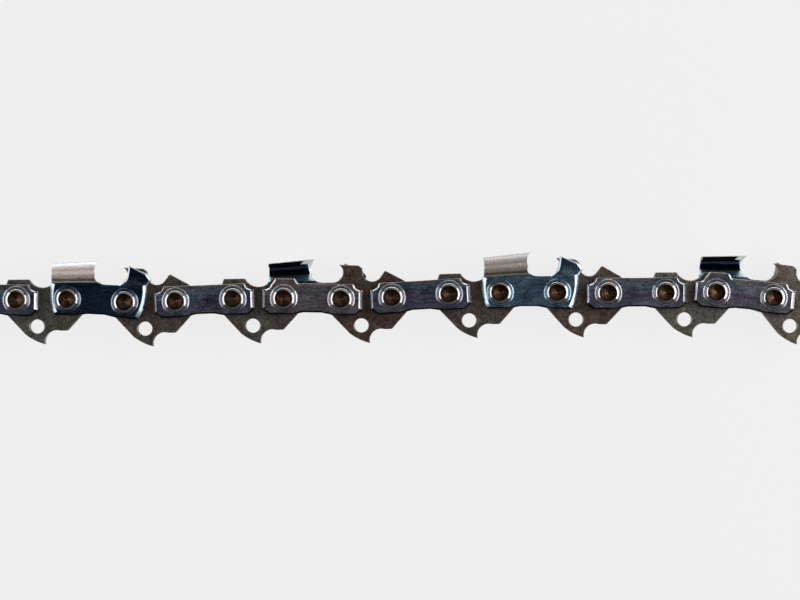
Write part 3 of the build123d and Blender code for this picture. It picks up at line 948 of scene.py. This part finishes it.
strap_names = sorted(name for name in nodes if name.startswith(("tie_strap", "humped_strap")))
for name in strap_names:
    strap_piece(name, int(name.split("_")[-1]), "_far_" in name)
print("straps:", len(strap_names))

# %% [markdown]
# ## Rivets
#
# A rivet is a turned part, so one profile of radius and height makes it. The spinning tool leaves
# a hollow cone in the middle and a bright flank around it, which gets steeper outwards. Each point
# keeps its distance from the axis, which the finish reads to tell flank from middle.

# %% Rivets
HEAD_RADIUS = 1.84 * MM
HUB_RADIUS = 1.35 * MM
HEAD_HEIGHT = 0.55 * MM
CREST_RADIUS = 1.40 * MM
FLANK_TILT = np.radians([6, 14, 19, 22, 26, 30, 34, 38, 43, 50, 62, 76])
CONE_DEPTH = 0.44 * MM
CONE_STEPS = 10
POLE_RADIUS = 0.02 * MM
RIVET_CREASE = math.radians(20)


def rivet_profile(face):
    """Half a rivet: a cone up to the crest, a flank that falls by tan(tilt), side and shank."""
    step = np.cos(FLANK_TILT)
    radius = CREST_RADIUS + (HEAD_RADIUS - CREST_RADIUS) * np.cumsum(step) / step.sum()
    drop = np.cumsum(np.diff(radius, prepend=CREST_RADIUS) * np.tan(FLANK_TILT))
    flank = np.stack([radius, face + HEAD_HEIGHT - drop], axis=-1)
    crest = np.array([CREST_RADIUS, face + HEAD_HEIGHT])
    t = np.linspace(0, 1, CONE_STEPS)[:, None]
    cone = crest - (1 - t) * [CREST_RADIUS, CONE_DEPTH]
    shank = np.array([[HEAD_RADIUS, face - SINK], [HUB_RADIUS, face - SINK], [HUB_RADIUS, 0.0]])
    return np.vstack([cone, flank, shank])


def rivet_piece(name, number, place):
    """A whole rivet: the half profile and its mirror image, turned about the rivet's axis."""
    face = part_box(name)[1].z - MIDDLE - HEAD_HEIGHT
    half = rivet_profile(face)
    profile = np.vstack([half, (half * [1, -1])[-2::-1]])
    profile[[0, -1], 0] = POLE_RADIUS
    points, faces = turned_shape(profile, (*rivet_line[place, :2], MIDDLE))
    caps = [list(range(TURN_STEPS)), list(range(len(points) - TURN_STEPS, len(points)))[::-1]]
    faces = faces[:, ::-1].tolist() + caps
    from_axis = np.repeat(profile[:, 0] / HEAD_RADIUS, TURN_STEPS)
    piece = make_piece("turned_" + name, points, faces, place, f"pair_{number}", [bronze],
                       "rivet_steel", from_axis=from_axis)
    piece.data.set_sharp_from_angle(angle=RIVET_CREASE)
    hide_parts(name)


rivet_names = sorted(name for name in nodes if name.startswith("rivet"))
for name in rivet_names:
    number = int(name.split("_")[-1])
    rivet_piece(name, number, 2 * number - (2 if "rear" in name else 1))
print("rivets:", len(rivet_names))

# %% [markdown]
# ## Cutters: the outline
#
# A cutter starts as a plate. Its body carries the two rivets, and its front end rises into the
# depth gauge, a fin with a shark's nose. A rounded gullet lies behind the gauge, and both ends of
# the body bulge. The outline has few points, so it is written here in millimetres, in the
# cutter's own measure from its rear rivet, with an arc through three points for each curve.

# %% Cutter outline
END_STEPS, GULLET_STEPS = 9, 10


def arc_through(start, middle, end, count):
    """Points on the circle through three points, at equal angles."""
    (ax, ay), (bx, by), (cx, cy) = start, middle, end
    d = 2 * (ax * (by - cy) + bx * (cy - ay) + cx * (ay - by))
    a2, b2, c2 = ax**2 + ay**2, bx**2 + by**2, cx**2 + cy**2
    ux = (a2 * (by - cy) + b2 * (cy - ay) + c2 * (ay - by)) / d
    uy = (a2 * (cx - bx) + b2 * (ax - cx) + c2 * (bx - ax)) / d
    turn = np.unwrap([math.atan2(y - uy, x - ux) for x, y in (start, middle, end)])
    angle = np.linspace(turn[0], turn[-1], count)
    radius = math.hypot(ax - ux, ay - uy)
    return np.stack([ux + radius * np.cos(angle), uy + radius * np.sin(angle)], axis=-1)


def body_outline():
    """The outline in order: rear end, arched foot, front end, depth gauge, gullet and its floor."""
    front = STRAP_SPAN / MM
    rear_end = arc_through((-2.96, 2.8), (-3.2, 0.4), (-2.55, -2.2), END_STEPS)
    foot = [(-2.2, -2.75), (1.5, -2.75), (3.4, -2.37), (front - 3.4, -2.37), (front - 1.5, -2.75)]
    front_end = arc_through((front + 2.45, -2.9), (front + 3.6, 0), (front + 3.72, 2.83), END_STEPS)
    gauge = [(front + 4.35, 3.95), (front + 3.5, 5.06), (front + 0.42, 6.22)]
    gullet = arc_through((front + 0.18, 4.5), (front - 0.5, 3.3), (front - 1.7, 2.85), GULLET_STEPS)
    floor = [(6.6, 2.83), (6.0, 2.87), (5.6, 3.0), (5.3, 3.2)]
    return np.vstack([rear_end, foot, front_end, gauge, gullet, floor]) * MM


print("points of a cutter's outline:", len(body_outline()))

# %% [markdown]
# ## Cutters: body and depth gauge
#
# The plate is pressed round at both ends, which gives the bright curved strips, and less so along
# the gauge. Above a bend the gauge leans a little outwards. Bending could be done with a modifier,
# but a lean is a single sum: each point moves out in step with its height above the bend.

# %% Cutter bodies
INNER = 0.695 * MM
OUTER = 1.845 * MM
HUB_HOLE = 1.36 * MM
CUTTER_EDGE = 0.09 * MM
CUTTER_ROUND = 0.85 * MM
CUTTER_CORNER = 0.14 * MM
GAUGE_ROUND = 0.34 * MM
GAUGE_BEND, GAUGE_TIP, GAUGE_LEAN = 3.8 * MM, 6.22 * MM, 0.45 * MM
GAUGE_FOOT, GULLET_REACH = 2.75 * MM, 1.8 * MM
REAR_END_TOP, FRONT_END_TOP, FACES_END = 2.7 * MM, 2.86 * MM, 0.8
END_RUB, GAUGE_RUB, BODY_RUB = 0.8, 0.9, 0.35


def lean_out(points, normals, faces, worn):
    """Above the bend z grows by k times the rise, and a normal's y loses k times its z."""
    k = GAUGE_LEAN / (GAUGE_TIP - GAUGE_BEND)
    rise = np.maximum(points[:, 1] - GAUGE_BEND, 0)
    points[:, 2] += k * rise
    normals[:, 1] -= np.where(rise > 0, k * normals[:, 2], 0)
    return points, normals / np.linalg.norm(normals, axis=1, keepdims=True), faces, worn


def cutter_edges(loop):
    """How round and how rubbed the edge is: most at both ends, less on the gauge, least above;
    painted shade below.
    """
    out = away(loop)[0]
    x, y = loop[:, 0], loop[:, 1]
    aside, below = np.abs(out[:, 0]), out[:, 1] < FACES_DOWN
    at_end = (aside > FACES_END) & (y < np.where(x > STRAP_SPAN, FRONT_END_TOP, REAR_END_TOP))
    gauge = (aside > FACES_ASIDE) & (y > GAUGE_FOOT) & (x > STRAP_SPAN - GULLET_REACH)
    width = np.where(below, LOWER_EDGE, CUTTER_EDGE)
    width = np.where(at_end, CUTTER_ROUND, np.where(gauge, GAUGE_ROUND, width))
    rub_and_painted_light = np.where(gauge, GAUGE_RUB, np.where(below, LOWER_EDGE_SHADE, BODY_RUB))
    return width, np.where(at_end, END_RUB, rub_and_painted_light)


def cutter_body(name, number, far):
    """Body and depth gauge of one cutter as a leaning plate, with a ring round each rivet."""
    rear = 2 * (number - 1)
    holes = [circle(0, 0, HUB_HOLE)[::-1], circle(STRAP_SPAN, 0, HUB_HOLE)[::-1]]
    loops = [soften(turned(body_outline(), True), CUTTER_CORNER), *holes]
    width, rub_and_painted_light = cutter_edges(loops[0])
    sheet = lean_out(*plate(loops, INNER, OUTER, [width, CUTTER_EDGE, CUTTER_EDGE], CUTTER_EDGE,
                            [rub_and_painted_light, HOLE_RUB, HOLE_RUB], ROUND))
    if far:
        sheet = mirrored(*sheet)
    points, normals, faces, worn = sheet
    out = -1 if far else 1
    placed = (from_link(points, rear), swing(normals, rear), faces, worn)
    points, normals, faces, worn = join_parts([placed, *rings_on(rear, MIDDLE + out * OUTER, out)])
    piece = make_piece("body_" + name, points, faces, rear, f"pair_{number}", [navy],
                       "cutter_chrome", normals, worn=worn, tone=CUTTER_TONE[number],
                       warm=CUTTER_WARM[number])
    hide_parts(name)


cutter_names = sorted(name for name in nodes if "cutter" in name)
for name in cutter_names:
    cutter_body(name, int(name.split("_")[-1]), "_far_" in name)
print("cutter bodies:", len(cutter_names))

# %% [markdown]
# ## Cutters: the blade's section
#
# The top plate is the blade. A strip leaves the body, flares out to a round shoulder, turns over
# and runs in above the chain. Its section has an outer and an inner side, each a straight, an arc
# and a straight, with as many points on one side as on the other, so the two can be joined.

# %% Strip section
TOP_RISE, TOP_SHEET = 3.75 * MM, 0.72 * MM
SHOULDER_OUT, SHOULDER_HEIGHT, SHOULDER_RUN = 1.5 * MM, 1.35 * MM, 1.6 * MM
SHOULDER_CROWN = 0.47 * MM
INNER_EDGE = 0.6 * MM
KNEE_PUSH = 0.2 * MM
FLARE_STEPS, ROUND_STEPS, ACROSS_STEPS = 8, 17, 8


def strip_side(foot, shoulder, crown, turn, end):
    """One side from its foot to its end: a straight flare, an arc over the shoulder, a straight."""
    foot, end = np.array(foot), np.array(end)
    over = arc_through(shoulder, crown, turn, ROUND_STEPS)
    flare = foot + np.linspace(0, 1, FLARE_STEPS + 1)[:-1, None] * (over[0] - foot)
    across = over[-1] + np.linspace(0, 1, ACROSS_STEPS + 1)[1:, None] * (end - over[-1])
    return np.vstack([flare, over, across])


def strip_section():
    """Outer and inner side of the strip at the front, as out and up from the bend."""
    turn = SHOULDER_OUT - SHOULDER_RUN
    push = SHOULDER_CROWN * math.sqrt(0.5)
    crown = ((SHOULDER_OUT + turn) / 2 + push, (SHOULDER_HEIGHT + TOP_RISE) / 2 + push)
    edge = -OUTER - INNER_EDGE
    outer = strip_side((0, 0), (SHOULDER_OUT, SHOULDER_HEIGHT), crown, (turn, TOP_RISE),
                       (edge, TOP_RISE))
    start = (SHOULDER_OUT - TOP_SHEET, SHOULDER_HEIGHT)
    bend = (turn - TOP_SHEET / 2, TOP_RISE - TOP_SHEET)
    knee = ((start[0] + bend[0]) / 2 + KNEE_PUSH, (start[1] + bend[1]) / 2 + KNEE_PUSH)
    inner = strip_side((INNER - OUTER, 0), start, knee, bend, (edge, TOP_RISE - TOP_SHEET))
    return outer, inner


print("points on each side of the section:", [len(side) for side in strip_section()])

# %% [markdown]
# ## Cutters: the filed front
#
# The strip runs from a smaller section at the rear to the full one in front, so that only its
# front edge cuts. A round file has shaped that front. Cutting it with a Boolean would leave ragged
# faces. Instead, each line of the strip ends where it first meets the file, which is the smaller
# root of a quadratic equation, and that leaves the hooked, swept edge.

# %% Filed front
FILE_X, FILE_Y, FILE_RADIUS = 6.09 * MM, 5.0 * MM, 2.0 * MM
FILE_SWEEP = math.radians(30)


def strip_end(section, x, bend, size):
    """The section in the cutter's own measure: x along, y up from the bend, z out from its face."""
    out, up = section[:, 0], section[:, 1]
    return np.stack([np.full(len(section), x), bend + size * up, OUTER + size * out], axis=-1)


def filed_end(start, end):
    """The smaller t at which start + t run is one radius off the file's axis; 1 if it never is."""
    axis = np.array([math.sin(FILE_SWEEP), 0, math.cos(FILE_SWEEP)])
    run = end - start
    away_from = start - np.array([FILE_X, FILE_Y, OUTER])
    run = run - (run @ axis)[:, None] * axis
    away_from = away_from - (away_from @ axis)[:, None] * axis
    a = np.sum(run**2, axis=1)
    b = np.sum(run * away_from, axis=1)
    c = np.sum(away_from**2, axis=1) - FILE_RADIUS**2
    inside = b**2 - a * c
    t = np.where(inside > 0, (-b - np.sqrt(np.maximum(inside, 0))) / a, 1)
    return np.clip(t, 0, 1)


line = np.array([[0.0, FILE_Y, OUTER]]), np.array([[FILE_X, FILE_Y, OUTER]])
print("a line to the file's axis is cut at", round(float(filed_end(*line)[0]), 2))

# %% [markdown]
# ## Cutters: the blade
#
# Now the two ends and the lines between them make one closed grid. Its rear is eased with a small
# lip, its inner edge with a bevel. Faces on the outside, on the inside and on the filed front get
# their own finishes, and every point keeps its girth for them.

# %% Cutter top plates
TOP_REAR, TOP_FRONT, TOP_TAPER = -2.78 * MM, 5.95 * MM, 0.875
BEND_REAR, BEND_FRONT = 2.72 * MM, 3.2 * MM
BLADE_EDGE = 0.12 * MM
BLADE_CREASE = math.radians(32)
LENGTH_STEPS = 24


def rounded_girth(outer, inner, depth):
    """The closed section, each side moved by a depth towards the strip's middle line."""
    middle = (outer + inner) / 2
    sides = []
    for line in (outer, inner):
        towards = middle - line
        towards = towards / np.linalg.norm(towards, axis=1, keepdims=True)
        sides.append(line + depth * towards)
    return np.vstack([sides[0], sides[1][::-1]])


def ease_edge(outer, inner):
    """The last points of both sides moved so that the inner edge is bevelled instead of sharp."""
    outer, inner = outer.copy(), inner.copy()
    outer[-2, 0] = outer[-1, 0] + BLADE_EDGE
    inner[-2, 0] = inner[-1, 0] + BLADE_EDGE
    outer[-1, 1] -= BLADE_EDGE
    inner[-1, 1] += BLADE_EDGE
    return outer, inner


def top_plate(name, number, far):
    """The strip as a closed grid: the section runs out and back, the length from rear to file."""
    rear = 2 * (number - 1)
    outer, inner = ease_edge(*strip_section())
    section = np.vstack([outer, inner[::-1]])
    start = strip_end(section, TOP_REAR, BEND_REAR, TOP_TAPER)
    end = strip_end(section, TOP_FRONT, BEND_FRONT, 1)
    end = start + filed_end(start, end)[:, None] * (end - start)
    t = np.linspace(0, 1, LENGTH_STEPS)[1:, None, None]
    t = np.concatenate([np.full((1, 1, 1), BLADE_EDGE / (TOP_FRONT - TOP_REAR)), t])
    lip = strip_end(rounded_girth(outer, inner, BLADE_EDGE), TOP_REAR, BEND_REAR, TOP_TAPER)
    points = np.concatenate([lip[None], start + t * (end - start)]).reshape(-1, 3)
    count, half, rows = len(section), len(outer), LENGTH_STEPS + 1
    quads = ring_quads(rows, count)[:, ::-1]
    j = np.arange(half - 1)
    cap = np.stack([j, j + 1, count - 2 - j, count - 1 - j], axis=-1)
    faces = np.concatenate([quads, cap, cap[:, ::-1] + (rows - 1) * count])
    column = np.tile(np.arange(count), rows - 1)
    finish = np.concatenate([np.where(column < half - 1, 0, 1), np.ones(len(cap)),
                             np.full(len(cap), 2)])
    around = np.linspace(0, 1, half)
    girth = np.tile(np.concatenate([around, around[::-1]]), rows)
    if far:
        points, faces = points * [1, 1, -1], faces[:, ::-1]
    piece = make_piece("blade_" + name, from_link(points, rear), faces, rear, f"pair_{number}",
                       [satin, hollow, ground], "cutter_chrome", face_finish=finish, girth=girth,
                       tone=SHOULDER_TONE[number])
    piece.data.set_sharp_from_angle(angle=BLADE_CREASE)
    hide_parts(name)


for name in cutter_names:
    top_plate(name, int(name.split("_")[-1]), "_far_" in name)
print("blades:", len(cutter_names))

# %% [markdown]
# ## Table
#
# The chain lies flat on a pale table and is seen from straight above. The table is hidden from
# all rays but the camera's, so it neither mirrors in the steel nor blocks a lamp.

# %% Table
TABLE_SIZE = 3.0
TABLE_GLOW = 0.80


def floor_piece():
    """A pale table: one flat square, mostly lit from within, so that shadows on it stay faint."""
    half = TABLE_SIZE / 2
    corners = [(-half, -half, 0), (half, -half, 0), (half, half, 0), (-half, half, 0)]
    mesh = bpy.data.meshes.new("table")
    mesh.from_pydata(corners, [], [(0, 1, 2, 3)])
    material, _, shader = new_finish("pale_table", 0.0, 0.0)
    shader.inputs["Roughness"].default_value = 0.9
    shader.inputs["Base Color"].default_value = (0.15, 0.15, 0.15, 1)
    shader.inputs["Emission Color"].default_value = (1, 1, 1, 1)
    shader.inputs["Emission Strength"].default_value = TABLE_GLOW
    mesh.materials.append(material)
    table = bpy.data.objects.new("table", mesh)
    table.visible_glossy = False
    table.visible_diffuse = False
    table.visible_shadow = False
    bpy.context.scene.collection.objects.link(table)


floor_piece()
print("table:", TABLE_SIZE, "m wide")

# %% [markdown]
# ## Lamps
#
# Two tall soft lamps stand left and right: flat faces, which mirror the dim ceiling, stay dark,
# and every edge that leans left or right lights up. A warm lamp behind does the same for edges
# that lean back. It reaches below the table, for edges that are nearly upright.

# %% Lamps
SIDE_LAMP_SIZE, BACK_LAMP_SIZE = (0.55, 0.64), (1.0, 0.30)
WARM_WHITE = (1.0, 0.95, 0.92)


def soft_lamp(name, place, target, size, power, colour=(1, 1, 1)):
    """A rectangular lamp at a place, turned to face a target."""
    data = bpy.data.lights.new(name, "AREA")
    data.shape = "RECTANGLE"
    data.size, data.size_y = size
    data.energy = power
    data.color = colour
    lamp = bpy.data.objects.new(name, data)
    lamp.location = place
    lamp.rotation_euler = (Vector(target) - Vector(place)).to_track_quat("-Z", "Y").to_euler()
    bpy.context.scene.collection.objects.link(lamp)


soft_lamp("left_lamp", (-0.42, 0.03, 0.10), (0, 0.03, 0.10), SIDE_LAMP_SIZE, 1.8)
soft_lamp("right_lamp", (0.42, 0.03, 0.10), (0, 0.03, 0.10), SIDE_LAMP_SIZE, 2.6)
soft_lamp("back_lamp", (0.0, 0.50, -0.10), (0, 0, -0.10), BACK_LAMP_SIZE, 2.0, WARM_WHITE)
print("lamps:", [light.name for light in bpy.data.lights])

# %% [markdown]
# ## The room
#
# Polished steel shows what is around it, so the room matters as much as the lamps. It is dim,
# brighter overhead, to the right and at the back, with faint walls, and its lower half is pale:
# faces that look down mirror a pale ground although the table is hidden from them. The camera
# alone sees one even tone past the table's edge.

# %% Room
SEEN_TONE = 0.87


def studio_world():
    """Light by direction: sideways x backwards x overhead, at least the walls, plus the ground."""
    world = bpy.data.worlds.new("studio")
    world.use_nodes = True
    tree = world.node_tree
    place = tree.nodes.new("ShaderNodeTexCoord")
    split = tree.nodes.new("ShaderNodeSeparateXYZ")
    tree.links.new(place.outputs["Generated"], split.inputs["Vector"])
    sideways = spread(tree, split.outputs["X"], 0.025, 0.275, -0.25, 0.25)
    backwards = spread(tree, split.outputs["Y"], 0.35, 1.3, -0.4, 0.4)
    overhead = spread(tree, split.outputs["Z"], 0.2, 1.0, 0.3, 0.9)
    room = sums(tree, "MULTIPLY", sideways, backwards)
    room = sums(tree, "MULTIPLY", room, overhead)
    walls = spread(tree, split.outputs["Z"], 0.06, 0.0, 0.55, 0.80)
    room = sums(tree, "MAXIMUM", room, walls)
    ground_below = spread(tree, split.outputs["Z"], 0.8, 0.0, -0.5, -0.3)
    light = sums(tree, "ADD", room, ground_below)
    seen = tree.nodes.new("ShaderNodeMix")
    seen.inputs["B"].default_value = SEEN_TONE
    from_camera = tree.nodes.new("ShaderNodeLightPath").outputs["Is Camera Ray"]
    tree.links.new(from_camera, seen.inputs["Factor"])
    tree.links.new(light, seen.inputs["A"])
    background = tree.nodes["Background"]
    background.inputs["Color"].default_value = (0.96, 0.98, 1.0, 1)
    tree.links.new(seen.outputs["Result"], background.inputs["Strength"])
    bpy.context.scene.world = world


studio_world()
bpy.context.scene.view_settings.view_transform = "Standard"
bpy.context.scene.view_settings.look = "None"
print("world:", bpy.context.scene.world.name)

# %% [markdown]
# ## Camera
#
# The picture was taken square on, so the camera looks straight down. A long lens keeps the sides
# of the links out of view. Its height follows from the width that it has to see at the level of
# the rivet heads: height over width is as lens over sensor.

# %% Camera
VIEW_WIDTH = 137.54 * MM
VIEW_CENTRE = (1.54 * MM, -0.07 * MM)
LENS, SENSOR = 105.0, 36.0
HEAD_LEVEL = 2.2 * MM
camera_data = bpy.data.cameras.new("camera")
camera_data.lens = LENS
camera_data.sensor_width = SENSOR
camera_data.clip_start, camera_data.clip_end = 0.01, 10
camera = bpy.data.objects.new("camera", camera_data)
camera.location = (*VIEW_CENTRE, MIDDLE + HEAD_LEVEL + VIEW_WIDTH * LENS / SENSOR)
bpy.context.scene.collection.objects.link(camera)
bpy.context.scene.camera = camera
print("camera height in mm:", round(camera.location.z / MM))
